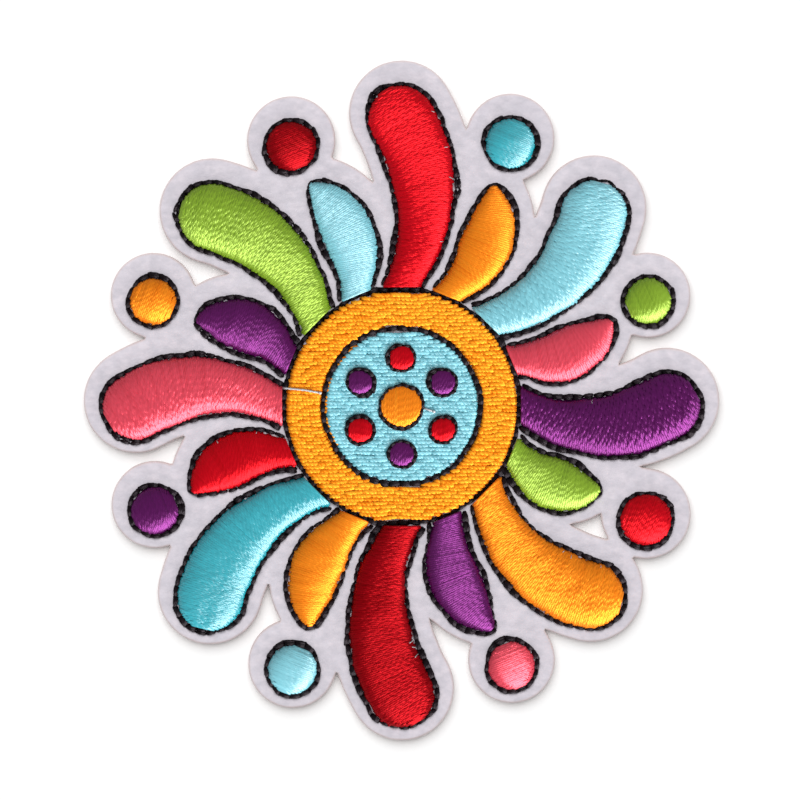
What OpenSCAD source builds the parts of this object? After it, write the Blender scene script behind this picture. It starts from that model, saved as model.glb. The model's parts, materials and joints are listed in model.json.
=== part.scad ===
// Embroidered clothing patch.
// A contour-cut felt base carries a flower rosette in raised satin stitch: a round
// filled disc with satin seeds, petals and leaves that all lean the same way, and a
// satin berry beyond each leaf. The black outline stitches between the pieces are bare
// thread, so the pieces here leave room for them.
// Millimetres. The felt's back lies on z = 0 with the middle of its outline at the
// origin, +Y is the top of the patch as it is worn and +Z faces away from the wearer.

/* [Felt base] */
// Width of the cut felt from side to side
patch_w = 76.3; // [74:0.1:84]
// Height of the cut felt from bottom to top
patch_h = 81.6; // [79:0.1:90]
// Thickness of the felt with its backing
felt_t = 1.2; // [1:0.1:3]
// Bare felt beyond the black outline stitches
felt_margin = 1.8; // [1.2:0.1:2.2]
// How far the cut outline sits above the embroidery
cut_shift = 0.7; // [0:0.1:1]

/* [Outline stitches] */
// Width of the black line round each motif
line_w = 0.6; // [0.4:0.1:0.8]

/* [Petals and leaves] */
// Angle that every petal and leaf turns through along its length
whirl = 62; // [20:1:70]
// Greatest width of a petal
petal_w = 7.8; // [6.5:0.1:8.4]
// Height of a petal's crest over the felt
petal_rise = 1.3; // [0.6:0.05:2]
// Greatest width of a leaf
leaf_w = 6.1; // [4.5:0.1:6.4]
// Height of a leaf's crest over the felt
leaf_rise = 1.1; // [0.5:0.05:1.8]

/* [Disc] */
// Radius of the filled disc in the middle
disc_r = 13.8; // [12:0.1:14]
// Width of the ring round the disc's centre
ring_w = 4.1; // [3:0.1:5]
// Height of the disc's fill over the felt
disc_rise = 0.75; // [0.4:0.05:1.2]
// Radius of the satin dot in the middle of the disc
centre_dot_r = 2.4; // [1.6:0.1:2.8]
// Radius of each small satin seed
seed_r = 1.45; // [1:0.05:1.6]
// Height of the seeds over the disc's fill
seed_rise = 0.5; // [0.3:0.05:0.8]

/* [Berries] */
// Height of a berry over the felt
berry_rise = 1.15; // [0.5:0.05:1.8]

/* [Hidden] */
sectors = 8;
seeds = 6;
sector_turn = 360 / sectors;
// Clearance under each stitched piece, and the height of its sides below the dome
lay_gap = 0.05;
side_h = 0.15;
// Half widths of the narrowest slit and of the finest notch point that the cut leaves open
slit_half = 0.4;
notch_half = 0.25;
edge = line_w + felt_margin;
base_r = disc_r + line_w + lay_gap;
ring_in_r = disc_r - ring_w;
centre_r = ring_in_r - line_w;
seed_ring_r = (centre_dot_r + centre_r) / 2;
felt_top = felt_t + lay_gap;
disc_top = felt_top + disc_rise;

// A petal's base is this share of its full width, which it reaches at this share of
// its length. The same two shares follow for a leaf.
petal_base = 0.58;
petal_full_at = 0.85;
leaf_base = 0.6;
leaf_full_at = 0.5;
// Share of the length over which the stitches turn from lying along the disc's edge to
// lying square across the motif
settle_at = 0.3;
// Half width that is left at the very end of a petal or leaf
tip_half = 0.25;
petal_steps = 15;
cap_steps = 8;
leaf_steps = 16;
dome_steps = 8;
// Exponents that gather the leaf's stations towards its point, and round its sides
leaf_gather = 1.3;
leaf_point = 0.8;

// Thread colours. Columns: name, red, green, blue
threads = [
    ["orange",  0.94, 0.56, 0.10],
    ["blue",    0.47, 0.80, 0.86],
    ["teal",    0.20, 0.62, 0.70],
    ["red",     0.88, 0.07, 0.12],
    ["crimson", 0.66, 0.00, 0.08],
    ["pink",    0.91, 0.33, 0.44],
    ["purple",  0.47, 0.16, 0.52],
    ["green",   0.53, 0.72, 0.18],
];

// One row for each sector, clockwise from the top. Columns: petal colour, leaf colour,
// berry colour, how far the petal's tip, the leaf's tip and the berry's edge each stop
// short of the stitches' full reach, berry radius, angle from the leaf's to the berry's.
// The third berry leans on the next petal's margin and closes a small window there.
rows = [
    ["red",     "orange", "teal",    0.0, 9.2, 1.0, 2.9,  0.0],
    ["blue",    "pink",   "green",   0.5, 8.9, 1.3, 2.7,  0.6],
    ["purple",  "green",  "red",     0.0, 10.2, 0.9, 3.0, -2.4],
    ["orange",  "purple", "pink",    1.1, 9.0, 1.4, 2.8,  0.5],
    ["crimson", "orange", "blue",    0.0, 9.3, 0.9, 2.9,  0.0],
    ["teal",    "red",    "purple",  0.7, 9.0, 1.2, 2.8,  0.4],
    ["pink",    "purple", "orange",  0.0, 9.4, 1.1, 2.7, -0.4],
    ["green",   "blue",   "crimson", 1.0, 9.1, 1.2, 2.9,  0.5],
];

// Values looked up or worked out from the table

function thread(name) = [for (t = threads) if (t[0] == name) [t[1], t[2], t[3]]][0];
function smooth(t) = let (c = min(max(t, 0), 1)) c * c * (3 - 2 * c);
function polar(r, a) = r * [cos(a), sin(a)];
function petal_angle(k) = 90 - sector_turn * k;
function leaf_angle(k) = petal_angle(k) - sector_turn / 2;

// Distance from the middle to the cut edge's reach, in direction a
function felt_reach(a) = let (side = patch_w / 2, top = patch_h / 2)
    side + (top - side) * pow(sin(a), 2);
function stitch_reach(a) = felt_reach(a) - edge;

function berry_r(k) = rows[k][6];
function berry_place(k) = let (a = leaf_angle(k) + rows[k][7])
    polar(stitch_reach(a) - rows[k][5] - berry_r(k), a);

// Spines: each one is an arc whose chord runs straight out from the disc in direction
// a and ends at radius r, so that the arc starts turned back by half of whirl

function spine_length(r) = (r - base_r) * (whirl / 2) * PI / 180 / sin(whirl / 2);
function petal_length(k) = let (a = petal_angle(k))
    spine_length(stitch_reach(a) - petal_w / 2 - rows[k][3]);
function leaf_length(k) = let (a = leaf_angle(k))
    spine_length(stitch_reach(a) - rows[k][4]);

function heading(a, len, s) = a - whirl / 2 + whirl * min(s / len, 1);
function spine(a, len, s) =
    let (turn_r = len * 180 / (PI * whirl), h0 = heading(a, len, 0))
    let (h = heading(a, len, s), past = max(s - len, 0))
    polar(base_r, a) + turn_r * [sin(h) - sin(h0), cos(h0) - cos(h)] + polar(past, h);
function rung(a, len, s) =
    heading(a, len, s) + whirl / 2 * (1 - smooth(s / (settle_at * len))) + 90;

// Stations along a spine. Columns: distance along it, half width there

function petal_stations(len) = concat(
    [for (i = [0:petal_steps - 1]) let (t = i / petal_steps)
        [t * len, petal_w / 2 * (petal_base + (1 - petal_base) * smooth(t / petal_full_at))]],
    [for (i = [0:cap_steps]) let (phi = 90 * i / cap_steps)
        [len + petal_w / 2 * sin(phi), max(petal_w / 2 * cos(phi), tip_half)]]
);

function leaf_half(t) =
    let (grown = leaf_base + (1 - leaf_base) * smooth(t / leaf_full_at))
    let (past = max(t - leaf_full_at, 0) / (1 - leaf_full_at))
    max(leaf_w / 2 * grown * pow(1 - past * past, leaf_point), tip_half);

function leaf_stations(len) = [
    for (i = [0:leaf_steps]) let (t = 1 - pow(1 - i / leaf_steps, leaf_gather))
        [t * len, leaf_half(t)]
];

function side_points(a, len, stations, side) = [
    for (st = stations) spine(a, len, st[0]) + side * polar(st[1], rung(a, len, st[0]))
];

// One ring of a raised motif: a flat foot and an elliptic dome, lower where the motif
// is narrow
function ring(a, len, st, w, rise) =
    let (p = spine(a, len, st[0]), across = polar(st[1], rung(a, len, st[0])))
    let (dome = (rise - side_h) * sqrt(2 * st[1] / w))
    concat(
        [concat(p - across, felt_top)],
        [for (j = [0:dome_steps]) let (phi = 180 * j / dome_steps)
            concat(p - cos(phi) * across, felt_top + side_h + dome * sin(phi))],
        [concat(p + across, felt_top)]
    );

// Solid and outline makers

module motif_outline(a, len, stations) {
    right = side_points(a, len, stations, -1);
    left = side_points(a, len, stations, 1);
    last = len(left) - 1;
    polygon(concat(right, [for (i = [0:last]) left[last - i]]));
}

module raised_motif(a, len, stations, w, rise) {
    size = dome_steps + 3;
    last = len(stations) - 1;
    points = [for (st = stations) each ring(a, len, st, w, rise)];
    sides = [for (i = [0:last - 1], j = [0:size - 1])
        let (p = i * size + j, q = i * size + (j + 1) % size)
        each [[p, p + size, q], [q, p + size, q + size]]];
    start = [for (j = [1:size - 2]) [0, j, j + 1]];
    end = [for (j = [1:size - 2]) let (o = last * size) [o, o + j + 1, o + j]];
    polyhedron(points, concat(sides, start, end));
}

module satin_dot(r, foot, rise) {
    rotate_extrude($fn = 48)
        polygon(concat(
            [[0, foot], [r, foot]],
            [for (j = [0:dome_steps]) let (phi = 90 * j / dome_steps)
                [r * cos(phi), foot + side_h + (rise - side_h) * sin(phi)]]
        ));
}

// A fill with a level top and quarter-round shoulders
function shoulder(r, inward, top, size) = [
    for (j = [0:4]) let (phi = 90 * j / 4)
        [r + inward * size * (1 - cos(phi)), top - size * (1 - sin(phi))]
];

module disc_ring() {
    round_r = disc_rise / 2;
    outer = shoulder(disc_r, -1, disc_top, round_r);
    inner = shoulder(ring_in_r, 1, disc_top, round_r);
    last = len(inner) - 1;
    color(thread("orange"))
        translate([0, -cut_shift, 0])
            rotate_extrude($fn = 96)
                polygon(concat(
                    [[ring_in_r, felt_top], [disc_r, felt_top]],
                    outer,
                    [for (i = [0:last]) inner[last - i]]
                ));
}

module disc_centre() {
    color(thread("blue"))
        translate([0, -cut_shift, 0])
            rotate_extrude($fn = 96)
                polygon(concat(
                    [[0, felt_top], [centre_r, felt_top]],
                    shoulder(centre_r, -1, disc_top, disc_rise / 2),
                    [[0, disc_top]]
                ));
}

module seed_centre() {
    color(thread("orange"))
        translate([0, -cut_shift, 0])
            satin_dot(centre_dot_r, disc_top + lay_gap, seed_rise);
}

module seed(i) {
    place = polar(seed_ring_r, 90 - 360 / seeds * i);
    color(thread(i % 2 == 0 ? "red" : "purple"))
        translate([place[0], place[1] - cut_shift, 0])
            satin_dot(seed_r, disc_top + lay_gap, seed_rise);
}

module petal(k) {
    len = petal_length(k);
    color(thread(rows[k][0]))
        translate([0, -cut_shift, 0])
            raised_motif(petal_angle(k), len, petal_stations(len), petal_w, petal_rise);
}

module leaf(k) {
    len = leaf_length(k);
    color(thread(rows[k][1]))
        translate([0, -cut_shift, 0])
            raised_motif(leaf_angle(k), len, leaf_stations(len), leaf_w, leaf_rise);
}

module berry(k) {
    place = berry_place(k);
    color(thread(rows[k][2]))
        translate([place[0], place[1] - cut_shift, 0])
            satin_dot(berry_r(k), felt_top, berry_rise);
}

module embroidery_outline() {
    circle(disc_r, $fn = 72);
    for (k = [0:sectors - 1]) {
        motif_outline(petal_angle(k), petal_length(k), petal_stations(petal_length(k)));
        motif_outline(leaf_angle(k), leaf_length(k), leaf_stations(leaf_length(k)));
        translate(berry_place(k))
            circle(berry_r(k), $fn = 36);
    }
}

module felt_base() {
    color([0.84, 0.82, 0.86])
        linear_extrude(felt_t)
            offset(delta = notch_half)
                offset(delta = -slit_half - notch_half)
                    offset(r = edge + slit_half, $fn = 32)
                        embroidery_outline();
}

felt_base();
disc_ring();
disc_centre();
seed_centre();
for (i = [1:seeds])
    seed(i - 1);
for (k = [1:sectors]) {
    petal(k - 1);
    leaf(k - 1);
    berry(k - 1);
}
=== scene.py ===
"""Looks of the embroidered clothing patch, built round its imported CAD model.

Sizes are millimetres in the part's own frame, and mesh_piece() turns them into metres.
The motifs' spines and widths follow the same formulas and named values as the part's source.
"""
import collections
import functools
import json
import math

import bpy
import numpy as np
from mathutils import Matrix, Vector, geometry


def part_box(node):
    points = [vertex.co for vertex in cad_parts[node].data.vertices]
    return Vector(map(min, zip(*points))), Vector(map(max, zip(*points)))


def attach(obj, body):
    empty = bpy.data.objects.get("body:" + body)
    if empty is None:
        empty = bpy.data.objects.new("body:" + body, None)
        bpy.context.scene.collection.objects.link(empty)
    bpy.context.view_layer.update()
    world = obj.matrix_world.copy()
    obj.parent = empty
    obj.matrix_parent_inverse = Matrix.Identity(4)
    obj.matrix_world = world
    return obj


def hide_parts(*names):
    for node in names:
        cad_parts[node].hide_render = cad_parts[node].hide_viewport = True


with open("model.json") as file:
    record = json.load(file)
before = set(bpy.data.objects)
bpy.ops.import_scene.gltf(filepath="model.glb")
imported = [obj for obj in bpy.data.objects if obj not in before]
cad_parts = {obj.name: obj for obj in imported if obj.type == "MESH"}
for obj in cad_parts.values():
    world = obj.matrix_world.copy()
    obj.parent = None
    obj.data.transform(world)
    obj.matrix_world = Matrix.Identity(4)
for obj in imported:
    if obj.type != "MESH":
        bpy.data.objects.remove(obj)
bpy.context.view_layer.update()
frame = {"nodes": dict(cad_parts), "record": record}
SLOTS = {p["node"]: p["material_slot"] for p in frame["record"]["subparts"]}
MM = 0.001

# Sizes of the felt and the stitched motifs
PATCH_W = 76.3
PATCH_H = 81.6
FELT_T = 1.2
FELT_MARGIN = 1.8
CUT_SHIFT = 0.7
LINE_W = 0.6
WHIRL = 62
PETAL_W = 7.8
PETAL_RISE = 1.3
LEAF_W = 6.1
LEAF_RISE = 1.1
DISC_R = 13.8
RING_W = 4.1
DISC_RISE = 0.75
SEED_RISE = 0.5
BERRY_RISE = 1.15
SECTORS = 8
SEEDS = 6
LAY_GAP = 0.05
SIDE_H = 0.15
PETAL_BASE = 0.58
PETAL_FULL_AT = 0.85
LEAF_BASE = 0.6
LEAF_FULL_AT = 0.5
LEAF_POINT = 0.8
SETTLE_AT = 0.3
TIP_HALF = 0.25
# How far each petal's tip and each leaf's tip stop short of the stitches' full reach
PETAL_SHORT = [0.0, 0.5, 0.0, 1.1, 0.0, 0.7, 0.0, 1.0]
LEAF_SHORT = [9.2, 8.9, 10.2, 9.0, 9.3, 9.0, 9.4, 9.1]
EDGE = LINE_W + FELT_MARGIN
BASE_R = DISC_R + LINE_W + LAY_GAP
RING_IN_R = DISC_R - RING_W
CENTRE_R = RING_IN_R - LINE_W
FELT_TOP = FELT_T + LAY_GAP
DISC_TOP = FELT_TOP + DISC_RISE

# Satin: spacing of its threads, their half width and half height, and points along each before
# those at needle points
SATIN_PITCH = 0.225
SATIN_WIDE = 0.205
SATIN_HIGH = 0.07
SATIN_POINTS = 11
# How square the satin's cross-section is: 2 is an ellipse
SATIN_CROWN = 2.7
# The steepest slope that a satin thread lies down on
LEAN_MOST = 1.2
# Slow waves of the satin's edge and of its top: height and length
EDGE_WAVE = (0.16, 4.5)
TOP_WAVES = [(0.05, 3.4), (0.035, 1.4)]
# How far a satin stitch ends short of its edge or past it, and how much of that its height follows
RAGGED_SHORT = 0.17
RAGGED_PAST = 0.8 * RAGGED_SHORT
FOOT_STRAY = 0.25
# How far past its edge, and how deep, a satin thread dives into the cloth
DIVE_PAST = 0.04
DIVE_DEEP = 0.22
# A wide motif's needle points: how far apart, how deep and how wide
SPLIT_STITCH = 1.5
NEEDLE_DEPTH = 0.14
NEEDLE_WIDE = 0.24
# How deep each petal's needle points sink, as a share of NEEDLE_DEPTH
PETAL_SPLIT = [0.3, 0.4, 0.55, 0.25, 0.25, 0.2, 0.3, 0.32]

# Fill: spacing of its rows, length of a stitch, half width and half height of its thread
FILL_PITCH = 0.43
FILL_STITCH = 1.9
FILL_WIDE = 0.265
FILL_HIGH = 0.08
# How far the needle points of each fill row are shifted, in turn, as a share of a stitch
FILL_ORDER = [0.0, 0.38, 0.76, 0.19, 0.57]

# Black line: length of a stitch, half width and half height of its thread
LINE_STITCH = 1.25
LINE_WIDE = 0.21
LINE_HIGH = 0.15
# The finer line round the seeds: length of a stitch, and width as a share of the others'
SEED_STITCH = 0.85
SEED_WEIGHT = 0.8
# How far the black line of the disc's centre lies over the felt
CENTRE_LINE_RISE = 0.42

# Where pale bobbin thread shows: motif, side of its spine, how many bits
STRAYS = [
    ("petal", 0, -1, 4),
    ("petal", 2, 1, 2),
    ("petal", 3, 1, 3),
    ("petal", 4, 1, 4),
    ("leaf", 5, -1, 2),
    ("leaf", 2, 1, 1),
]
# Jump stitches over the disc: the places that each one runs through, in the part's frame
JUMPS = [
    [(-14.2, 1.5), (-11.6, 1.25), (-9.75, 0.9)],
    [(2.6, -0.9), (3.3, -1.15), (3.9, -1.35)],
]

# Felt: spacing of its points along the cut and inside it, and the cut edge's rounding and lean
CUT_STEP = 0.4
FELT_STEP = 0.7
CUT_ROUND = 0.3
CUT_LEAN = 0.06
BACK_SCORCH = 0.15

# Thread colours: base, the fibres' glint, metallic share and specular level. The orange fill and
# orange satin share one thread, yet the fill has its own lighter row: painted light on the flat fill,
# beside the darker, painted-shade copy that the domed satin gets.
COLOURS = {
    "thread_orange": ((1.0, 0.26, 0.012), (1.0, 0.62, 0.14), 0.30, 0.55),
    "fill_orange": ((1.0, 0.33, 0.015), (1.0, 0.55, 0.12), 0.30, 0.5),
    "thread_blue": ((0.22, 0.61, 0.71), (1.0, 1.0, 1.0), 0.0, 0.8),
    "thread_teal": ((0.015, 0.405, 0.49), (1.0, 1.0, 1.0), 0.0, 0.9),
    "thread_red": ((0.6, 0.0002, 0.009), (1.0, 0.18, 0.15), 0.38, 0.6),
    "thread_crimson": ((0.275, 0.0001, 0.004), (1.0, 0.1, 0.09), 0.42, 0.5),
    "thread_pink": ((0.84, 0.07, 0.115), (1.0, 0.58, 0.58), 0.34, 0.8),
    "thread_purple": ((0.09, 0.001, 0.085), (1.0, 0.34, 0.95), 0.42, 1.0),
    "thread_green": ((0.235, 0.415, 0.02), (1.0, 0.97, 0.5), 0.22, 0.9),
    "thread_black": ((0.006, 0.003, 0.005), (0.8, 0.72, 0.78), 0.0, 0.17),
    "thread_pale": ((0.50, 0.52, 0.54), (0.9, 0.92, 0.95), 0.0, 0.5),
}
FELT_COLOUR = (0.74, 0.70, 0.77)
SCORCH_COLOUR = (0.70, 0.57, 0.55)

# Camera's height over the felt's top, its shift from the middle, and the lamps' distance, in metres
CAMERA_UP = 0.8
CAMERA_SHIFT = (-0.00018, 0.00006)
LAMP_FAR = 0.9


def smooth(t):
    c = np.clip(t, 0, 1)
    return c * c * (3 - 2 * c)


def polar(r, a):
    a = np.radians(a)
    return np.stack([r * np.cos(a), r * np.sin(a)], axis=-1)


def unit(v):
    return v / np.maximum(np.linalg.norm(v, axis=-1, keepdims=True), 1e-9)


def petal_angle(k):
    return 90 - 360 / SECTORS * k


def leaf_angle(k):
    return petal_angle(k) - 180 / SECTORS


def stitch_reach(a):
    """How far from the middle the stitches may reach at an angle, inside the patch's outline box."""
    side, top = PATCH_W / 2, PATCH_H / 2
    return side + (top - side) * math.sin(math.radians(a)) ** 2 - EDGE


def spine_length(r):
    """Length of a spine that turns by WHIRL on its way out to a radius."""
    return (r - BASE_R) * math.radians(WHIRL / 2) / math.sin(math.radians(WHIRL / 2))


def dot_place(name):
    """Middle and radius of a round dot, from its CAD node."""
    low, high = (np.array(c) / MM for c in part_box(name))
    return (low + high)[:2] / 2, (high - low)[0] / 2


class Motif:
    """A petal or leaf: its spine, the direction of its stitches and its half width."""

    def __init__(self, kind, k):
        petal = kind == "petal"
        self.a = petal_angle(k) if petal else leaf_angle(k)
        reach = stitch_reach(self.a)
        self.width = PETAL_W if petal else LEAF_W
        self.rise = PETAL_RISE if petal else LEAF_RISE
        self.len = spine_length(reach - PETAL_W / 2 - PETAL_SHORT[k] if petal else reach - LEAF_SHORT[k])
        self.end = self.len + PETAL_W / 2 if petal else self.len
        self.half = self.petal_half if petal else self.leaf_half

    def heading(self, s):
        return self.a - WHIRL / 2 + WHIRL * np.minimum(s / self.len, 1)

    def spine(self, s):
        turn_r = self.len / math.radians(WHIRL)
        h, h0 = np.radians(self.heading(s)), math.radians(self.a - WHIRL / 2)
        arc = turn_r * np.stack([np.sin(h) - math.sin(h0), math.cos(h0) - np.cos(h)], axis=-1)
        past = np.maximum(s - self.len, 0)
        place = polar(BASE_R, self.a) + arc + polar(past, self.heading(s))
        return place - [0, CUT_SHIFT]

    def rung(self, s):
        return self.heading(s) + WHIRL / 2 * (1 - smooth(s / (SETTLE_AT * self.len))) + 90

    def petal_half(self, s):
        grown = PETAL_BASE + (1 - PETAL_BASE) * smooth(s / self.len / PETAL_FULL_AT)
        past = np.clip((s - self.len) / (PETAL_W / 2), 0, 1)
        return PETAL_W / 2 * grown * np.sqrt(1 - past**2)

    def leaf_half(self, s):
        t = s / self.len
        grown = LEAF_BASE + (1 - LEAF_BASE) * smooth(t / LEAF_FULL_AT)
        past = np.clip((t - LEAF_FULL_AT) / (1 - LEAF_FULL_AT), 0, 1)
        return LEAF_W / 2 * grown * (1 - past**2) ** LEAF_POINT

    def dome(self, s):
        return (self.rise - SIDE_H) * np.sqrt(2 * np.maximum(self.half(s), TIP_HALF) / self.width)

    def edge_point(self, s, side):
        return self.spine(s) + side * polar(np.maximum(self.half(s), TIP_HALF), self.rung(s))

    def lay(self, s):
        """Middle, direction, half width and dome of the threads that cross the spine at s."""
        return self.spine(s), polar(1.0, self.rung(s)), self.half(s), self.dome(s)


class Bundle:
    """Threads gathered for one piece: points, faces, and each point's tone, lay and
    direction across its thread."""

    def __init__(self):
        self.points, self.faces, self.tone, self.lay, self.across = [], [], [], [], []
        self.size = 0

    def add(self, points, faces, tone, lay, across):
        self.points.append(points)
        self.faces += [[i + self.size for i in f] for f in faces]
        self.tone.append(tone)
        self.lay.append(lay)
        self.across.append(across)
        self.size += len(points)

    def tubes(
        self, paths, wide, high, tone, plan=None, lobe=0.0, pebble=0.8, sides=6, phase=0.0, ply=1.0, lean=None
    ):
        """Closed tubes along paths (count, points, 3). wide and high are half sizes at each point.
        plan is the way that each tube runs, seen from above. lobe is how far two plies stand out,
        pebble how far apart their crests lie along the thread, phase where the crests start, ply how
        plainly the grooves between them show in relief and in painted shade, and lean the slope that a tube
        lies down on."""
        count, size = paths.shape[:2]
        if plan is None:
            plan = unit(paths[:, -1:, :2] - paths[:, :1, :2])
        side = np.concatenate([-plan[..., 1:], plan[..., :1], np.zeros_like(plan[..., :1])], axis=-1)
        side = np.broadcast_to(side, paths.shape).copy()
        if lean is not None:
            side[..., 2] = lean
        up = unit(np.cross(unit(np.gradient(paths, axis=1)), side))
        steps = np.linalg.norm(np.diff(paths, axis=1), axis=-1)
        along = np.concatenate([np.zeros((count, 1)), np.cumsum(steps, axis=1)], axis=1)
        turn = np.pi * along / pebble + np.reshape(phase, (-1, 1))
        theta = np.arange(sides) * 2 * np.pi / sides
        swell = 1 + lobe * np.cos(2 * (theta - turn[..., None]))
        x = (np.cos(theta) * swell * wide[..., None])[..., None] * side[:, :, None]
        y = (np.sin(theta) * swell * high[..., None])[..., None] * up[:, :, None]
        ring = paths[:, :, None] + x + y
        shape = (count, size, sides)
        plies = (ply * np.cos(2 * theta), ply * np.sin(2 * theta), turn[..., None])
        lay = np.stack([np.broadcast_to(value, shape) for value in plies], axis=-1)
        first = (np.arange(count) * size * sides)[:, None, None]
        low = first + np.arange(size - 1)[None, :, None] * sides
        j, after = np.arange(sides), (np.arange(sides) + 1) % sides
        walls = np.stack([low + j, low + after, low + sides + after, low + sides + j], axis=-1)
        start_cap, end_cap = first[:, 0] + j[::-1], first[:, 0] + (size - 1) * sides + j
        faces = walls.reshape(-1, 4).tolist() + start_cap.tolist() + end_cap.tolist()
        shade = np.broadcast_to(tone.reshape(count, -1, 1), shape)
        across = np.broadcast_to(side[:, :, None], ring.shape)
        self.add(ring.reshape(-1, 3), faces, shade.reshape(-1), lay.reshape(-1, 3), across.reshape(-1, 3))

    def loft(self, rings, tone, closed=False):
        """A form through rings (count, points, 3). A closed one comes back to its first ring, and
        any other has a cap at each end."""
        count, size = rings.shape[:2]
        total = count * size
        low = np.arange(count if closed else count - 1)[:, None] * size
        high = (low + size) % total
        j, after = np.arange(size), (np.arange(size) + 1) % size
        faces = np.stack([low + j, high + j, high + after, low + after], axis=-1).reshape(-1, 4).tolist()
        if not closed:
            faces += [list(range(size)), list(range(total - size, total))[::-1]]
        sideways = np.tile([1.0, 0.0, 0.0], (total, 1))
        self.add(rings.reshape(-1, 3), faces, np.full(total, tone), np.zeros((total, 3)), sideways)


def mesh_piece(name, points, faces, material, **attributes):
    """A smooth mesh, with an attribute of its points for each list of values."""
    mesh = bpy.data.meshes.new(name)
    mesh.from_pydata((points * MM).tolist(), [], faces)
    for key, values in attributes.items():
        vector = values.ndim == 2
        attribute = mesh.attributes.new(key, "FLOAT_VECTOR" if vector else "FLOAT", "POINT")
        attribute.data.foreach_set("vector" if vector else "value", values.astype(np.float32).ravel())
    mesh.shade_smooth()
    mesh.materials.append(material)
    piece = bpy.data.objects.new(name, mesh)
    bpy.context.scene.collection.objects.link(piece)
    return piece


def join(name, bundle, material, slot, *nodes):
    """Makes one piece of a bundle, and hides the CAD nodes named."""
    tone, lay, across = map(np.concatenate, (bundle.tone, bundle.lay, bundle.across))
    points = np.concatenate(bundle.points)
    piece = mesh_piece(name, points, bundle.faces, material, tone=tone, lay=lay, across=across)
    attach(piece, "root")
    if nodes:
        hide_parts(*nodes)


def lumps(x, y, seed, size):
    """Soft waves from -1 to 1, like the unevenness that padding leaves."""
    rng = np.random.default_rng(seed)
    turn, shift = rng.uniform(0, 2 * np.pi, (2, 5))
    wave = 2 * np.pi / size * rng.uniform(0.6, 1.3, 5)
    return sum(np.sin(w * (x * np.cos(t) + y * np.sin(t)) + p) for w, t, p in zip(wave, turn, shift)) / 5


def crown(u):
    """Height of the satin's cross-section, from 1 in the middle to 0 at its edges."""
    return np.sqrt(np.maximum(1 - np.abs(u) ** SATIN_CROWN, 0))


def needle_points(half, rng):
    """A wide motif's needle points, in rows along it that are staggered from thread to thread:
    their places across each thread, which of them show, and the thread's own points by them."""
    stagger = np.array([0.0, 0.5, 0.25, 0.75])
    row_shift, stray, margin, beside, spare_reach = -0.4, 0.06, 0.5, 0.3, 0.97
    order = stagger[np.arange(len(half)) % len(stagger)] + row_shift
    rows = [(i + order) * SPLIT_STITCH + rng.normal(0, stray, len(half)) for i in range(-2, 4)]
    needles = np.stack(rows, axis=1)
    shown = np.abs(needles) < half[:, None] - margin
    near = (needles[:, :, None] + np.array([-beside, 0, beside])) / half[:, None, None]
    spare = np.linspace(-spare_reach, spare_reach, near[0].size).reshape(near[0].shape)
    return needles, shown, np.where(shown[:, :, None], near, spare).reshape(len(half), -1)


def satin_lean(x, centre, across, half, dome):
    """The slope of the dome from thread to thread, which each thread lies down on."""
    count = len(half)
    forward = np.stack([across[:, 1], -across[:, 0]], axis=1)
    before, after = np.maximum(np.arange(count) - 1, 0), np.minimum(np.arange(count) + 1, count - 1)
    run = ((centre[after] - centre[before]) * forward).sum(axis=1)[:, None]
    climb = [dome[i][:, None] * crown(np.clip(x / half[i][:, None], -1, 1)) for i in (before, after)]
    return np.clip((climb[0] - climb[1]) / run, -LEAN_MOST, LEAN_MOST)


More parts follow.
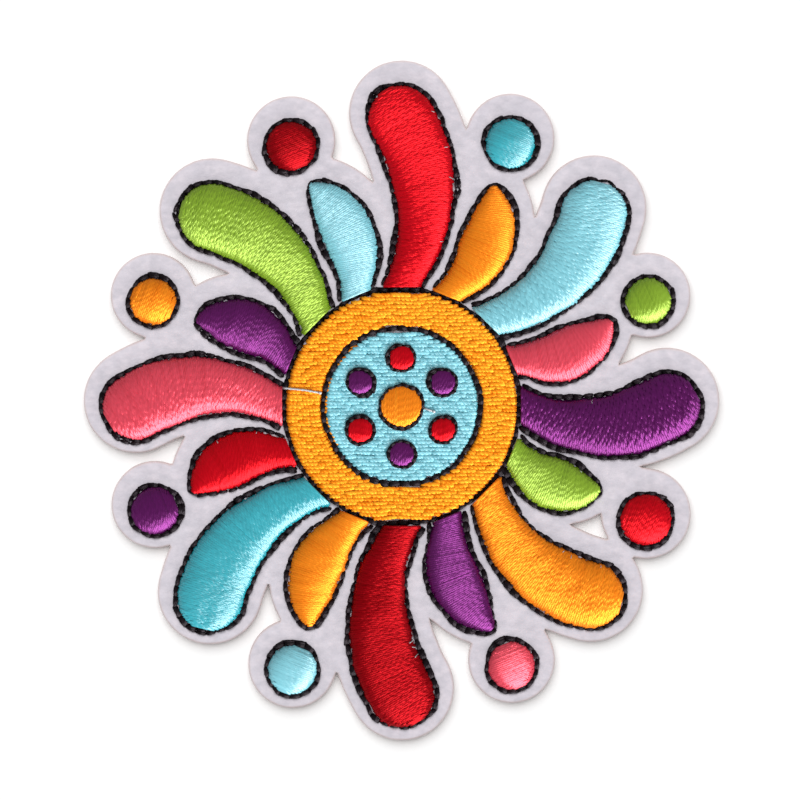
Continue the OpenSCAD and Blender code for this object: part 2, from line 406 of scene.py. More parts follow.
def satin(bundle, centre, across, half, dome, foot, rng, split=0.0):
    """Threads laid side by side over a dome. Each one dives into the cloth at both edges.
    split is how deep a wide motif's needle points sink, as a share of NEEDLE_DEPTH."""
    count = len(half)
    column = (count, 1)
    dome_vary, thread_lift, point_lift, least_gap = 0.003, 0.003, 0.002, 0.01
    zigzag, drift_vary, bow = 0.05 * SATIN_PITCH, 0.011, 0.016
    girth_vary, pinched, tone_vary = 0.02, 0.25, 0.08
    seed = int(rng.integers(1e6))
    edges = centre[:, None] + half[:, None, None] * np.array([-1, 1])[None, :, None] * across[:, None]
    even = half[:, None] + EDGE_WAVE[0] * lumps(edges[..., 0], edges[..., 1], seed, EDGE_WAVE[1])
    reach = even + rng.uniform(-RAGGED_SHORT, RAGGED_PAST, (count, 2))
    u = -np.cos(np.linspace(0, np.pi, SATIN_POINTS))[None].repeat(count, axis=0)
    if split > 0:
        needles, shown, near = needle_points(half, rng)
        u = np.sort(np.concatenate([u, near], axis=1), axis=1)
        gaps = np.maximum(np.diff(u, axis=1), least_gap)
        u = np.concatenate([np.zeros(column), np.cumsum(gaps, axis=1)], axis=1)
        u = 2 * u / u[:, -1:] - 1
    x = np.where(u < 0, u * reach[:, :1], u * reach[:, 1:])
    foot_at = even + FOOT_STRAY * (reach - even)
    height = crown(np.clip(x / np.where(u < 0, foot_at[:, :1], foot_at[:, 1:]), -1, 1))
    spot = centre[:, None] + x[..., None] * across[:, None]
    rise = dome[:, None] * rng.normal(1, dome_vary, column)
    for n, (wave, length) in enumerate(TOP_WAVES, 1):
        rise = rise + wave * lumps(spot[..., 0], spot[..., 1], seed + n, length)
    sunk = np.zeros(x.shape)
    if split > 0:
        pits = np.exp(-(((x[:, :, None] - needles[:, None]) / NEEDLE_WIDE) ** 2))
        sunk = (pits * shown[:, None]).sum(axis=2)
    z = foot + SIDE_H + rise * height - split * NEEDLE_DEPTH * sunk - SATIN_HIGH
    z = z + rng.normal(0, thread_lift, column) + rng.normal(0, point_lift, x.shape)
    ends = reach + DIVE_PAST
    x = np.concatenate([-ends[:, :1], x, ends[:, 1:]], axis=1)
    low = np.full(column, foot - DIVE_DEEP)
    z = np.concatenate([low, z, low], axis=1)
    share = x / np.maximum(reach.mean(axis=1, keepdims=True), 0.1)
    drift = np.where(np.arange(count) % 2, zigzag, -zigzag)[:, None] * share
    drift = drift + rng.normal(0, drift_vary, column) + rng.normal(0, bow, column) * (1 - share**2)
    forward = np.stack([across[:, 1], -across[:, 0]], axis=1)
    plan = centre[:, None] + x[..., None] * across[:, None] + drift[..., None] * forward[:, None]
    pinch = np.pad(1 - pinched * split * np.clip(sunk, 0, 1), ((0, 0), (1, 1)), mode="edge")
    girth = rng.normal(1, girth_vary, column)
    bundle.tubes(
        np.concatenate([plan, z[..., None]], axis=2),
        SATIN_WIDE * girth * pinch,
        SATIN_HIGH * girth * np.ones_like(pinch),
        np.clip(rng.normal(0.5, tone_vary, count), 0, 1),
        plan=across[:, None],
        lobe=0.04,
        pebble=0.75,
        phase=rng.uniform(0, np.pi, count),
        ply=0.7,
        lean=satin_lean(x, centre, across, half, dome),
    )


def padding(bundle, centre, across, half, dome, foot):
    """The padding stitches' mass under the satin, a little smaller than the dome."""
    # The padding's tone, lower than the threads', is painted shade for the gaps between the satin threads
    # over it.
    inset, drop, sunk, least, tone = 0.9, 0.12, 0.06, 0.02, 0.35
    phi = np.linspace(0, np.pi, 13)
    x = -np.cos(phi)[None] * half[:, None] * inset
    z = foot - sunk + np.maximum(SIDE_H + dome[:, None] * inset * np.sin(phi)[None] - drop, least)
    plan = centre[:, None] + x[..., None] * across[:, None]
    top = np.concatenate([plan, z[..., None]], axis=2)
    below = top[:, [-1, 0]].copy()
    below[..., 2] = foot - drop
    bundle.loft(np.concatenate([top, below], axis=1), tone)


def satin_piece(name, lay, threads, padded, foot, rng, split=0.0):
    """A motif's satin over its padding. lay gives the middle, direction, half width and dome at
    the places of its threads, and at fewer places for its padding."""
    bundle = Bundle()
    satin(bundle, *lay(threads), foot, rng, split)
    padding(bundle, *lay(padded), foot)
    slot = SLOTS[name]
    join(name + "_satin", bundle, thread_material(slot), slot, name)


def motif_piece(kind, k, split):
    """A petal or leaf of satin across its curved spine."""
    first, last_gap, narrowest, padding_first, padding_gap = 0.05, 0.12, 0.3, 0.25, 0.3
    motif = Motif(kind, k)
    s = np.arange(first, motif.end - last_gap, SATIN_PITCH)
    s = s[motif.half(s) > narrowest]
    padded = np.linspace(padding_first, s[-1] - padding_gap, 26)
    rng = np.random.default_rng(100 * (kind == "leaf") + k + 1)
    satin_piece(f"{kind}_{k + 1}", motif.lay, s, padded, FELT_TOP, rng, split)


def dot_piece(name, foot, rise, angle):
    """A round satin dot with its threads laid at an angle."""
    first_gap, last_gap, padding_gap = 0.16, 0.1, 0.3
    middle, r = dot_place(name)

    def lay(y):
        half = np.sqrt(r * r - y * y)
        across = np.tile(polar(1.0, angle), (len(y), 1))
        return middle + y[:, None] * polar(1.0, angle + 90), across, half, (rise - SIDE_H) * half / r

    threads = np.arange(-r + first_gap, r - last_gap, SATIN_PITCH)
    padded = np.linspace(-r + padding_gap, r - padding_gap, 9)
    satin_piece(name, lay, threads, padded, foot, np.random.default_rng(sum(map(ord, name))))


def fill_top(depth):
    """Height of the disc's fill at this depth in from its edge: level, with round shoulders."""
    size = DISC_RISE / 2
    inward = np.clip(depth / size, 0, 1)
    return DISC_TOP - size * (1 - np.sqrt(1 - (1 - inward) ** 2))


def fill_stitches(outer, inner, rng):
    """Both ends of each fill stitch along its row, and the row's y. Needle points keep away from
    the row's ends, and each row's are shifted from the last one's."""
    edge, narrow_hole, shortest, shift_vary, end_room, stray, past = 0.2, 0.2, 0.5, 0.09, 0.7, 0.2, 0.15
    stitches = []
    count = int((outer - edge) / FILL_PITCH)
    most = int(2 * outer / FILL_STITCH) + 4
    for i in range(-count, count + 1):
        y = i * FILL_PITCH
        reach, hole = math.sqrt(outer**2 - y**2), math.sqrt(max(inner**2 - y**2, 0))
        spans = [(-reach, -hole), (hole, reach)] if hole > narrow_hole else [(-reach, reach)]
        for low, high in spans:
            if high - low < shortest:
                continue
            shift = (FILL_ORDER[i % len(FILL_ORDER)] + rng.normal(0, shift_vary)) * FILL_STITCH
            first = math.floor((low - shift) / FILL_STITCH)
            marks = shift + FILL_STITCH * np.arange(first, first + most)
            marks = marks[(marks > low + end_room) & (marks < high - end_room)]
            marks = marks + rng.normal(0, stray, len(marks))
            marks = np.concatenate([[low - rng.uniform(0, past)], marks, [high + rng.uniform(0, past)]])
            stitches += [(a, b, y) for a, b in zip(marks, marks[1:])]
    return np.array(stitches).T[:, :, None]


def fill_bed(bundle, outer, inner):
    """The padding under a disc or ring of fill, as circles from its inside over to its outer foot."""
    # The bed's tone, lower than the threads', is painted shade for the troughs between the fill rows over it.
    side, shoulder, hole, points, tone = 0.25, 0.6, 0.5, 72, 0.3
    low, high = FELT_TOP + 0.25, DISC_TOP - 0.3
    circles = [(outer - shoulder, high), (outer - side, low), (outer - side, FELT_TOP)]
    if inner:
        circles = [(inner + side, FELT_TOP), (inner + side, low), (inner + shoulder, high)] + circles
    else:
        circles = [(hole, high)] + circles
    loop = polar(np.ones(points), np.linspace(0, 360, points + 1)[:-1])
    rings = [np.column_stack([r * loop - [0, CUT_SHIFT], np.full(points, z)]) for r, z in circles]
    bundle.loft(np.array(rings), tone, closed=inner > 0)


def fill_piece(name, outer, inner, seed):
    """Rows of fill stitches across a disc or ring, which sink a little at their needle points."""
    row_vary, skew, wave, wave_long, at_edge = 0.025, 0.03, 0.12, 4.0, 0.02
    dip_deep, dip_long, lift_vary, plunge_deep = 0.04, 0.2, 0.01, 0.14
    taper, taper_long, girth_vary = 0.1, 0.3, 0.07
    tone_vary, mottle, mottle_long = 0.12, 0.9, 1.5
    rng = np.random.default_rng(seed)
    bundle = Bundle()
    starts, ends, rows = fill_stitches(outer, inner, rng)
    column = starts.shape
    share = np.concatenate([[-0.02], np.linspace(0.02, 0.98, 11), [1.02]])
    x = starts + share * (ends - starts)
    sway = rng.normal(0, row_vary, column) + rng.normal(0, skew, column) * (2 * share - 1)
    y = rows + sway + wave * lumps(x, 1.4 * rows, seed, wave_long)
    r = np.hypot(x, y)
    depth = np.minimum(outer - r, r - inner) if inner else outer - r
    end_near = np.minimum(share, 1 - share) * (ends - starts)
    dip = dip_deep * np.exp(-np.maximum(end_near, 0) / dip_long)
    top = fill_top(np.maximum(depth, at_edge)) - FILL_HIGH - dip + rng.normal(0, lift_vary, column)
    plunge = np.where((share < 0) | (share > 1), plunge_deep, 0.0)
    z = np.where((depth < at_edge) & (end_near < taper_long), FELT_TOP - 0.1, top - plunge)
    body = 1 - taper + taper * np.clip(end_near / taper_long, 0, 1)
    body = body * rng.normal(1, girth_vary, column)
    tone = 0.5 + rng.normal(0, tone_vary, column) + mottle * lumps(x, 2.2 * y, seed + 3, mottle_long)
    bundle.tubes(
        np.stack([x, y - CUT_SHIFT, z], axis=-1),
        FILL_WIDE * body,
        FILL_HIGH * body,
        np.clip(tone, 0, 1),
        lobe=0.12,
        pebble=0.52 * rng.normal(1, 0.1, column),
        sides=8,
        ply=1.3,
        phase=rng.uniform(0, np.pi, len(starts)),
    )
    fill_bed(bundle, outer, inner)
    if inner:
        slivers(bundle, rng)
    slot = SLOTS[name]
    # The orange fill takes a lighter, lit copy of the orange thread's colour: painted light.
    colour = "fill_orange" if slot == "thread_orange" else slot
    join(name + "_fill", bundle, thread_material(colour, 0.6), slot, name)


def slivers(bundle, rng):
    """Ends of the ring's stitches that show past the black line, on the centre's edge."""
    low, high, seen, wide, thick = -4.5, 7.2, 0.75, 0.2, 0.12
    y = np.arange(low, high, FILL_PITCH)
    y = y[rng.random(len(y)) < seen]
    past = rng.uniform(0.28, 0.5, len(y))
    ring, line, centre = (np.full(len(y), r) for r in (RING_IN_R + 0.3, CENTRE_R + 0.3, CENTRE_R - 0.08))
    r = np.stack([ring, line, centre, CENTRE_R - past, CENTRE_R - past - 0.1], axis=1)
    x = -np.sqrt(r**2 - y[:, None] ** 2)
    z = FELT_T + np.array([0.45, 0.34, 0.60, 0.58, 0.3])[None].repeat(len(y), axis=0)
    paths = np.stack([x, y[:, None] - CUT_SHIFT + 0 * x, z], axis=-1)
    size = np.ones_like(x)
    bundle.tubes(paths, wide * size, thick * size, np.clip(rng.normal(0.5, 0.17, len(y)), 0, 1), lobe=0.1)


def jump_stitch(bundle, corners):
    """A pale thread that lies loose over the disc, with a knot at its end."""
    wide, high, loose, dive = 0.12, 0.09, 0.10, 0.35
    foot = DISC_TOP + LAY_GAP
    plan = resample(np.array(corners), 0.3)
    share = np.linspace(0, 1, len(plan))
    z = foot + loose * np.sin(np.pi * share) - dive * (np.minimum(share, 1 - share) < 0.01)
    paths = np.column_stack([plan, z])[None]
    size = np.ones(paths.shape[:2])
    bundle.tubes(paths, wide * size, high * size, np.array([0.5]), lobe=0.12, pebble=0.5)
    knot_wide, knot_high, level = 0.2, 0.16, np.array([[[1.0, 0.0]]])
    along = knot_wide * np.array([-1, -0.7, 0, 0.7, 1])
    knot = np.column_stack([plan[-1] + along[:, None] * [1, 0], np.full(len(along), foot + knot_high / 2)])
    size = np.array([[0.2, 0.75, 1, 0.75, 0.2]])
    bundle.tubes(knot[None], knot_wide * size, knot_high * size, np.array([1.0]), plan=level)


def bobbin_bits(bundle, kind, k, side, count, rng):
    """Short pale threads pulled up at one edge of a petal or leaf."""
    thick, slant_most, over, dive, end = 0.055, 0.25, 0.03, 0.25, 0.985
    motif = Motif(kind, k)
    s = motif.len * rng.uniform(0.25, 1.02, count)
    centre, across, half, dome = motif.lay(s)
    share = np.array([-0.03, 0.0, 0.25, 0.5, 0.75, 1.0, 1.03])
    start = rng.uniform(0.86, 0.95, (count, 1))
    u = start + (end - start) * share
    slant = rng.uniform(-slant_most, slant_most, (count, 1)) * (1 - share)
    plan = centre[:, None] + side * (u * half[:, None])[..., None] * across[:, None]
    plan = plan + slant[..., None] * polar(1.0, motif.heading(s))[:, None]
    z = FELT_TOP + SIDE_H + dome[:, None] * crown(u) + over - dive * ((share < 0) | (share > 1))
    paths = np.concatenate([plan, z[..., None]], axis=2)
    size = thick * np.ones(z.shape)
    bundle.tubes(paths, size, size, rng.uniform(0, 0.3, count), plan=side * across[:, None])


def stray_threads():
    """Pale bits: jump stitches across the disc, and bobbin thread pulled up at some satin edges."""
    rng = np.random.default_rng(31)
    bundle = Bundle()
    for corners in JUMPS:
        jump_stitch(bundle, corners)
    for kind, k, side, count in STRAYS:
        bobbin_bits(bundle, kind, k, side, count, rng)
    join("stray_threads", bundle, thread_material("thread_pale"), "thread_pale")


def resample(path, step, closed=False):
    """Points at equal spacing along a path, near to step apart."""
    if closed:
        path = np.concatenate([path, path[:1]])
    gaps = np.linalg.norm(np.diff(path, axis=0), axis=1)
    along = np.concatenate([[0], np.cumsum(gaps)])
    count = max(int(round(along[-1] / step)), 2)
    at = np.linspace(0, along[-1], count + 1)
    return np.stack([np.interp(at, along, path[:, 0]), np.interp(at, along, path[:, 1])], axis=1)


def outward(path, closed=False):
    """Unit normals to the right of a path's direction."""
    if closed:
        run = np.roll(path, -1, axis=0) - np.roll(path, 1, axis=0)
    else:
        run = np.gradient(path, axis=0)
    run = unit(run)
    return np.stack([run[:, 1], -run[:, 0]], axis=1)


def motif_edge(kind, k, off):
    """A line that runs round a petal or leaf at a distance off its edge, base to base."""
    leaf_last, points, step, softenings, clear = 0.995, 90, 0.25, 3, DISC_R + LINE_W * 0.55
    motif = Motif(kind, k)
    s = np.linspace(0, motif.len if kind == "petal" else motif.len * leaf_last, points)
    right, left = motif.edge_point(s, -1), motif.edge_point(s, 1)[::-1]
    if kind == "petal":
        turn = motif.heading(motif.len) + np.linspace(-90, 90, 40)[1:-1]
        tip = motif.spine(np.array(motif.len)) + polar(PETAL_W / 2, turn)
        line = np.concatenate([right, tip, left])
    else:
        line = np.concatenate([right, left])
    line = resample(line, step)
    line = line + off * outward(line)
    if kind == "leaf":
        for _ in range(softenings):
            line[1:-1] = (line[:-2] + line[1:-1] * 2 + line[2:]) / 4
    return line[np.linalg.norm(line + [0, CUT_SHIFT], axis=1) > clear]


def circle_line(middle, r, start):
    """A circle from a start angle, which is where its first stitch lies."""
    return np.array(middle) + polar(r, start + np.linspace(0, 360, 121)[:-1])


# A black line: name of its piece, path, height of what it lies on, and whether it closes
Line = collections.namedtuple("Line", "piece path foot closed")


def outline_lines():
    """The black outline of each motif."""
    half, seed_off, seed_sunk, start_spread = LINE_W / 2, 0.16, 0.04, 37
    middle = [0, -CUT_SHIFT]
    lines = [
        Line("outline_disc", circle_line(middle, DISC_R + half, 20), FELT_T, True),
        Line("outline_centre", circle_line(middle, CENTRE_R + half, 200), FELT_T + CENTRE_LINE_RISE, True),
    ]
    for k in range(SECTORS):
        lines.append(Line("outline_petals", motif_edge("petal", k, half), FELT_T, False))
        lines.append(Line("outline_leaves", motif_edge("leaf", k, half), FELT_T, False))
    for name in sorted(SLOTS):
        kind = name.split("_")[0]
        if kind in ("berry", "seed"):
            place, r = dot_place(name)
            off, foot = (half, FELT_T) if kind == "berry" else (seed_off, DISC_TOP - seed_sunk)
            piece = "outline_berries" if kind == "berry" else "outline_seeds"
            lines.append(Line(piece, circle_line(place, r + off, start_spread * r), foot, True))
    return lines


def rope(bundle, line, rng, step, weight):
    """Running stitch sewn there and back through the same holes. An open line thins to one pass
    here and there, and in places a third pass wanders off beside it and comes back."""
    sway, double_sway, stray, shift_vary, slant_vary, least_spread = 0.07, 0.05, 0.045, 0.035, 0.05, 0.2
    holes_in_wave = 7
    holes = resample(line.path, step, line.closed)
    count = len(holes)
    normals = outward(holes)
    if line.closed:
        normals[0] = normals[-1] = unit(normals[0] + normals[-1])
    at = np.linspace(0, 2 * np.pi, count)
    turns = max(count // holes_in_wave, 1)

    def wave(rate):
        return np.sin(rate * turns * at + rng.uniform(0, 6))

    jog = sway * wave(1) + double_sway * wave(2) + rng.normal(0, stray, count)
    if line.closed:
        jog[-1] = jog[0]
    holes = holes + normals * jog[:, None]
    astray = np.clip(1.7 * wave(0.5) - 0.9, 0, 1)
    thin = (not line.closed) * np.clip(2.4 * wave(0.45) - 1.2, 0, 1)
    # Each pass: how far beside the line it lies, where it is sewn, and how high over the first
    passes = [(-0.07, np.ones(count), 0.0), (0.08, 1 - thin, 0.07), (0.40, astray, 0.03)]
    for lane, spread, rise in passes:
        shift = weight * lane * spread + rng.normal(0, shift_vary, count)
        slant = rng.normal(0, slant_vary, count - 1)
        a = holes[:-1] + normals[:-1] * (shift[:-1] + slant)[:, None]
        b = holes[1:] + normals[1:] * (shift[1:] - slant)[:, None]
        sewn = np.maximum(spread[:-1], spread[1:]) > least_spread
        if not sewn.any():
            continue
        alone = (thin[:-1] + thin[1:])[sewn, None] / 2
        sew_pass(bundle, a[sewn], b[sewn], line.foot, rise, alone, weight, rng)


def sew_pass(bundle, a, b, foot, rise, alone, weight, rng):
    """The black stitches of one pass, from a to b. They lap over each other, except where the pass
    is alone."""
    least_lap, most_lap, gap_alone, lift_most, girth_vary = 0.04, 0.13, 0.14, 0.1, 0.1
    column = (len(a), 1)
    # Places along a stitch, and its height and girth there
    share = np.array([0, 0.06, 0.2, 0.4, 0.6, 0.8, 0.94, 1.0])
    arch = np.array([-0.22, 0.0, 0.13, 0.19, 0.19, 0.13, 0.0, -0.22])
    body = np.array([0.65, 0.85, 1.0, 1.1, 1.1, 1.0, 0.85, 0.65])
    lap = rng.uniform(least_lap, most_lap, column) - gap_alone * alone
    run = unit(b - a)
    a, b = a - run * lap, b + run * lap
    plan = a[:, None] + (b - a)[:, None] * share[None, :, None]
    z = foot + arch * (1 + rng.uniform(0.0, lift_most, column)) + rise * (np.abs(share - 0.5) < 0.4)
    body = body * rng.normal(1, girth_vary, column)
    bundle.tubes(
        np.concatenate([plan, z[..., None]], axis=2),
        LINE_WIDE * weight * body,
        LINE_HIGH * body,
        np.clip(rng.normal(0.5, 0.25, len(a)), 0, 1),
        lobe=0.1,
        pebble=0.5,
        phase=rng.uniform(0, np.pi, len(a)),
    )


def outline_pieces(lines):
    """The black outlines, one piece for each kind of motif."""
    for name in sorted({line.piece for line in lines}):
        rng = np.random.default_rng(sum(map(ord, name)))
        step, weight = (SEED_STITCH, SEED_WEIGHT) if name == "outline_seeds" else (LINE_STITCH, 1.0)
        bundle = Bundle()
        for line in lines:
            if line.piece == name:
                rope(bundle, line, rng, step, weight)
        join(name, bundle, thread_material("thread_black"), "thread_black")


def blank_material(name):
    """A new material, with its nodes, links and shader."""
    mat = bpy.data.materials.new(name)
    mat.use_nodes = True
    nodes = mat.node_tree.nodes
    return mat, nodes, mat.node_tree.links, nodes["Principled BSDF"]


def read_attribute(nodes, name):
    """What a shader can read of the points' attribute of that name."""
    node = nodes.new("ShaderNodeAttribute")
    node.attribute_name = name
    return node.outputs


def add_bump(nodes, links, shader, height, strength, distance):
    bump = nodes.new("ShaderNodeBump")
    bump.inputs["Strength"].default_value = strength
    bump.inputs["Distance"].default_value = distance * MM
    links.new(height, bump.inputs["Height"])
    links.new(bump.outputs["Normal"], shader.inputs["Normal"])


@functools.cache
def thread_material(colour, sheen=1.0):
    """Glossy twisted thread: its tone varies from strand to strand, and two plies wind round it. The grooves
    between the plies are painted darker, as painted shade.
    """
    base, glint, metal, gloss = COLOURS[colour]
    mat, nodes, links, shader = blank_material(("twisted_" if sheen == 1 else "filled_") + colour)
    tone = read_attribute(nodes, "tone")["Fac"]
    ramp = nodes.new("ShaderNodeValToRGB")
    dark = [0.8 * c**1.3 for c in base]
    light = [min(c * 1.2 + 0.005, 1) for c in base]
    low, high = ramp.color_ramp.elements
    low.color, high.color = (*dark, 1), (*light, 1)
    ramp.color_ramp.elements.new(0.5).color = (*base, 1)
    links.new(ramp.outputs["Color"], shader.inputs["Base Color"])
    shader.inputs["Roughness"].default_value = 0.5 if colour == "thread_black" else 0.42
    shader.inputs["Anisotropic"].default_value = 0.8
    links.new(read_attribute(nodes, "across")["Vector"], shader.inputs["Tangent"])
    shader.inputs["Specular IOR Level"].default_value = gloss * sheen
    shader.inputs["IOR"].default_value = 1.6
    shader.inputs["Specular Tint"].default_value = (*glint, 1)
    shader.inputs["Metallic"].default_value = metal * sheen
    lay = read_attribute(nodes, "lay")["Vector"]
    parts = nodes.new("ShaderNodeSeparateXYZ")
    links.new(lay, parts.inputs["Vector"])

    def maths(kind, *values):
        node = nodes.new("ShaderNodeMath")
        node.operation = kind
        for socket, value in zip(node.inputs, values):
            if isinstance(value, float):
                socket.default_value = value
            else:
                links.new(value, socket)
        return node.outputs[0]

    twice = maths("MULTIPLY", parts.outputs["Z"], 2.0)
    first = maths("MULTIPLY", parts.outputs["X"], maths("COSINE", twice))
    second = maths("MULTIPLY", parts.outputs["Y"], maths("SINE", twice))
    height = maths("ADD", first, second)
    # Painted shade: the plies' grooves darken the thread's tone, on top of the bump.
    groove_shade = maths("MULTIPLY", height, 0.08)
    links.new(maths("ADD", tone, groove_shade), ramp.inputs["Fac"])
    add_bump(nodes, links, shader, height, strength=0.3, distance=0.05)
    return mat


def felt_material():
    """Pale mottled felt with fine fibres, browned where the hot cut ran."""
    mat, nodes, links, shader = blank_material("cut_felt")
    place = nodes.new("ShaderNodeTexCoord")

    def noise(scale, detail):
        node = nodes.new("ShaderNodeTexNoise")
        node.inputs["Scale"].default_value = scale
        node.inputs["Detail"].default_value = detail
        links.new(place.outputs["Object"], node.inputs["Vector"])
        return node

    def mix(a, b, fac):
        node = nodes.new("ShaderNodeMix")
        node.data_type = "RGBA"
        links.new(fac, node.inputs["Factor"])
        for value, key in ((a, "A"), (b, "B")):
            socket = [s for s in node.inputs if s.name == key and s.type == "RGBA"][0]
            if isinstance(value, tuple):
                socket.default_value = (*value, 1)
            else:
                links.new(value, socket)
        return [s for s in node.outputs if s.type == "RGBA"][0]

    def spread(node):
        ramp = nodes.new("ShaderNodeMapRange")
        ramp.inputs["From Min"].default_value = 0.3
        ramp.inputs["From Max"].default_value = 0.7
        links.new(node.outputs["Fac"], ramp.inputs["Value"])
        return ramp.outputs["Result"]

    mottle, streaks = noise(700, 6), noise(1300, 5)
    squash = nodes.new("ShaderNodeMapping")
    squash.inputs["Scale"].default_value = (0.7, 1.0, 1.0)
    links.new(place.outputs["Object"], squash.inputs["Vector"])
    links.new(squash.outputs["Vector"], streaks.inputs["Vector"])
    cool = tuple(c * 0.95 for c in FELT_COLOUR)
    warm = tuple(c * share for c, share in zip(FELT_COLOUR, (1.06, 1.03, 1.01)))
    dim = tuple(c * 0.82 for c in FELT_COLOUR)
    cloth = mix(dim, mix(cool, warm, spread(mottle)), spread(streaks))
    scorch = read_attribute(nodes, "scorch")["Fac"]
    links.new(mix(cloth, SCORCH_COLOUR, scorch), shader.inputs["Base Color"])
    shader.inputs["Roughness"].default_value = 0.95
    shader.inputs["Specular IOR Level"].default_value = 0.15
    shader.inputs["Sheen Weight"].default_value = 0.15
    shader.inputs["Sheen Roughness"].default_value = 0.6
    fibre = noise(4200, 6)
    add_bump(nodes, links, shader, fibre.outputs["Fac"], strength=0.6, distance=0.09)
    return mat


def felt_loops():
    """The felt's cut lines, read from the CAD felt's top face: loops of points in millimetres."""
    mesh = frame["nodes"]["felt_base"].data
    co = np.array([v.co for v in mesh.vertices]) / MM
    keys = [tuple(np.round(c[:2], 3)) for c in co]
    level = co[:, 2] > FELT_T - 0.01
    top = [list(face.vertices) for face in mesh.polygons if all(level[i] for i in face.vertices)]
    sides = dict.fromkeys((keys[a], keys[b]) for ids in top for a, b in zip(ids, ids[1:] + ids[:1]))
    onward = {a: b for a, b in sides if (b, a) not in sides}
    loops = []
    while onward:
        at, loop = next(iter(onward)), []
        while at in onward:
            loop.append(at)
            at = onward.pop(at)
        loops.append(np.array(loop))
    return sorted(loops, key=len, reverse=True)


def near_distance(points, others, block=400):
    """Distance from each point to the nearest of the others, worked out block by block."""
    best = np.full(len(points), np.inf)
    for i in range(0, len(others), block):
        gap = np.linalg.norm(points[:, None] - others[None, i : i + block], axis=2)
        best = np.minimum(best, gap.min(axis=1))
    return best


def inside(points, loop):
    """Which points a loop goes round, by counting how often it crosses a line from each."""
    hit = np.zeros(len(points), bool)
    for (x0, y0), (x1, y1) in zip(loop, np.roll(loop, -1, axis=0)):
        crosses = (y0 > points[:, 1]) != (y1 > points[:, 1])
        at = (x1 - x0) * (points[:, 1] - y0) / (y1 - y0 + 1e-12) + x0
        hit ^= crosses & (points[:, 0] < at)
    return hit


def in_felt(points, loops):
    """Which points lie inside the felt's outline and outside its windows."""
    found = inside(points, loops[0])
    for loop in loops[1:]:
        found &= ~inside(points, loop)
    return found


class Sheet:
    """The felt's points and faces, and how browned each point is."""

    def __init__(self):
        self.points, self.faces, self.scorch = [], [], []
        self.size = 0

    def add(self, points, burnt):
        """Takes points in, and gives the numbers that they have in the mesh."""
        self.points.append(points)
        self.scorch.append(np.full(len(points), burnt))
        self.size += len(points)
        return np.arange(self.size - len(points), self.size)


def felt_walls(sheet, loops, rng):
    """The cut wall and softly rounded edge along each loop. Gives the foot and the rim of each,
    as the numbers and places of their points."""
    # How far in, how high and how browned the wall is, from its foot to its rim
    profile = [
        (0.0, 0.0, 0.75),
        (0.0, FELT_T * 0.5, 1.0),
        (0.0, FELT_T - CUT_ROUND, 0.9),
        (CUT_ROUND * 0.3, FELT_T - CUT_ROUND * 0.3, 0.55),
        (CUT_ROUND, FELT_T, 0.0),
    ]
    wave_deep, wave_turn = 0.03, 0.9
    feet, rims = [], []
    for loop in loops:
        normal = outward(loop, closed=True)
        wave = wave_deep * np.sin(np.arange(len(loop)) * wave_turn) * rng.uniform(0.3, 1, len(loop))
        rows = []
        for inset, z, burnt in profile:
            xy = loop - normal * (inset + wave[:, None] * (inset > 0))
            rows.append((sheet.add(np.column_stack([xy, np.full(len(loop), z)]), burnt), xy))
        for (low, _), (high, _) in zip(rows, rows[1:]):
            sheet.faces += np.stack([low, np.roll(low, -1), np.roll(high, -1), high], axis=1).tolist()
        feet.append(rows[0])
        rims.append(rows[-1])
    return feet, rims


def felt_grid(loops, rng):
    """Loose points inside the felt, clear of its cut edge, in rows that are shifted by half a step."""
    row_step, stray, clear = FELT_STEP * 0.87, 0.12, CUT_ROUND + 0.35
    low, high = loops[0].min(axis=0), loops[0].max(axis=0)
    xs, ys = np.arange(low[0], high[0], FELT_STEP), np.arange(low[1], high[1], row_step)
    grid = np.array([(x + FELT_STEP / 2 * (r % 2), y) for r, y in enumerate(ys) for x in xs])
    grid = grid + rng.uniform(-stray, stray, grid.shape)
    grid = grid[in_felt(grid, loops)]
    return grid[near_distance(grid, np.concatenate(loops)) > clear]


def felt_face(sheet, rows, grid, height, burnt, top):
    """The felt's top or back, between rows of the cut wall's points. height gives z at places."""
    known = np.concatenate([numbers for numbers, _ in rows])
    edges, first = [], 0
    for numbers, _ in rows:
        edges += [(first + i, first + (i + 1) % len(numbers)) for i in range(len(numbers))]
        first += len(numbers)
    flat = np.concatenate([xy for _, xy in rows] + [grid])
    made = geometry.delaunay_2d_cdt([Vector(p) for p in flat], edges, [], 0, 1e-6)
    verts, tris = np.array([tuple(v) for v in made[0]]), np.array(made[2])
    source = np.array([o[0] if o else len(flat) for o in made[3]])
    fresh = source >= len(known)
    xy = verts[fresh]
    number = np.zeros(len(verts), int)
    number[~fresh] = known[source[~fresh]]
    number[fresh] = sheet.add(np.column_stack([xy, height(xy)]), burnt)
    keep = in_felt(verts[tris].mean(axis=1), [xy for _, xy in rows])
    faces = number[tris[keep]]
    sheet.faces += (faces if top else faces[:, ::-1]).tolist()


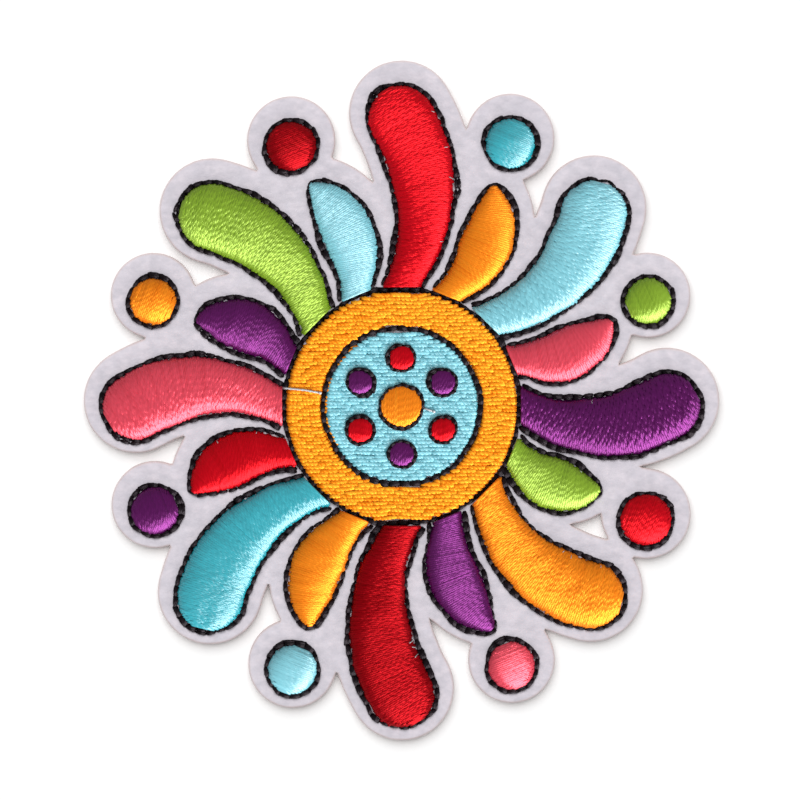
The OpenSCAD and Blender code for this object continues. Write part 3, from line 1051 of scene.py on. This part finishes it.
def felt_piece(lines):
    """The felt sheet: a cut wall, a softly rounded edge and a top that puckers along the stitches."""
    pucker_deep, pucker_wide, wave_high, wave_clear = 0.22, 0.75, 0.03, 0.3
    rng = np.random.default_rng(7)
    loops = [resample(loop, CUT_STEP, closed=True)[:-1] for loop in felt_loops()]
    sewn = np.concatenate([resample(line.path, 0.3, line.closed) for line in lines if line.foot == FELT_T])

    def top_height(xy):
        gap = near_distance(xy, sewn)
        wave = wave_high * np.sin(xy[:, 0] * 1.1 + 1.7 * np.sin(xy[:, 1] * 0.8))
        pucker = pucker_deep * np.exp(-((gap / pucker_wide) ** 2))
        return FELT_T - pucker + wave * np.clip(gap - wave_clear, 0, 1)

    sheet = Sheet()
    feet, rims = felt_walls(sheet, loops, rng)
    grid = felt_grid(loops, rng)
    felt_face(sheet, rims, grid, top_height, 0.0, top=True)
    felt_face(sheet, feet, grid, lambda xy: np.zeros(len(xy)), BACK_SCORCH, top=False)
    points, scorch = np.concatenate(sheet.points), np.concatenate(sheet.scorch)
    points[:, 1] += CUT_LEAN * (1 - points[:, 2] / FELT_T) * (scorch > 0)
    piece = mesh_piece("felt_sheet", points, sheet.faces, felt_material(), scorch=scorch)
    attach(piece, "root")
    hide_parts("felt_base")


def floor_plane():
    """A white floor a hair under the felt's back."""
    bpy.ops.mesh.primitive_plane_add(size=3, location=(0, 0, -0.00002))
    floor = bpy.context.object
    floor.name = "floor"
    mat, _, _, shader = blank_material("floor")
    shader.inputs["Base Color"].default_value = (0.95, 0.95, 0.95, 1)
    shader.inputs["Roughness"].default_value = 1.0
    shader.inputs["Specular IOR Level"].default_value = 0.0
    floor.data.materials.append(mat)
    return floor


def lamp(name, kind, azimuth, elevation, size, power, receivers, diffuse=True, glossy=True):
    """A lamp that lights these objects alone, while everything casts its shadow. size is a sun's
    angle in degrees, or a disc's width in metres."""
    data = bpy.data.lights.new(name, kind)
    data.energy = power
    if kind == "SUN":
        data.angle = math.radians(size)
    else:
        data.shape = "DISK"
        data.size = size
    made = bpy.data.objects.new(name, data)
    a, e = math.radians(azimuth), math.radians(elevation)
    place = Vector((math.cos(a) * math.cos(e), math.sin(a) * math.cos(e), math.sin(e))) * LAMP_FAR
    made.location = place
    made.rotation_euler = (-place).to_track_quat("-Z", "Y").to_euler()
    made.visible_diffuse = diffuse
    made.visible_glossy = glossy
    bpy.context.scene.collection.objects.link(made)
    lit = bpy.data.collections.new(name + "_lights")
    for thing in receivers:
        lit.objects.link(thing)
    made.light_linking.receiver_collection = lit


def studio():
    """White floor, soft light, and a camera that looks straight down."""
    scene = bpy.context.scene
    floor = floor_plane()
    world = bpy.data.worlds.new("world")
    scene.world = world
    world.use_nodes = True
    world.node_tree.nodes["Background"].inputs["Color"].default_value = (1, 1, 1, 1)
    world.node_tree.nodes["Background"].inputs["Strength"].default_value = 0.45

    felt = scene.objects["felt_sheet"]
    threads = [o for o in scene.objects if o.type == "MESH" and o not in (floor, felt)]
    lamp("key", "SUN", azimuth=106, elevation=56, size=70, power=2.5, receivers=[floor])
    lamp("above", "SUN", azimuth=97, elevation=70, size=50, power=1.95, receivers=[felt])
    low = {"azimuth": -62, "elevation": 34, "receivers": threads}
    lamp("side", "SUN", size=40, power=3.35, glossy=False, **low)
    lamp("sheen", "AREA", size=1.1, power=28, diffuse=False, **low)

    data = bpy.data.cameras.new("camera")
    data.sensor_width = 36
    data.lens = 300
    data.clip_end = 10
    camera = bpy.data.objects.new("camera", data)
    camera.location = (*CAMERA_SHIFT, CAMERA_UP + FELT_T * MM)
    scene.collection.objects.link(camera)
    scene.camera = camera
    scene.view_settings.view_transform = "Standard"


lines = outline_lines()
felt_piece(lines)
for k in range(SECTORS):
    motif_piece("petal", k, PETAL_SPLIT[k])
    motif_piece("leaf", k, 0.0)
    dot_piece(f"berry_{k + 1}", FELT_TOP, BERRY_RISE, leaf_angle(k) + 90)
fill_piece("disc_ring", DISC_R, RING_IN_R, 11)
fill_piece("disc_centre", CENTRE_R, 0, 12)
dot_piece("seed_centre", DISC_TOP + LAY_GAP, SEED_RISE, 90)
for i in range(SEEDS):
    dot_piece(f"seed_{i + 1}", DISC_TOP + LAY_GAP, SEED_RISE, 90)
outline_pieces(lines)
stray_threads()

studio()
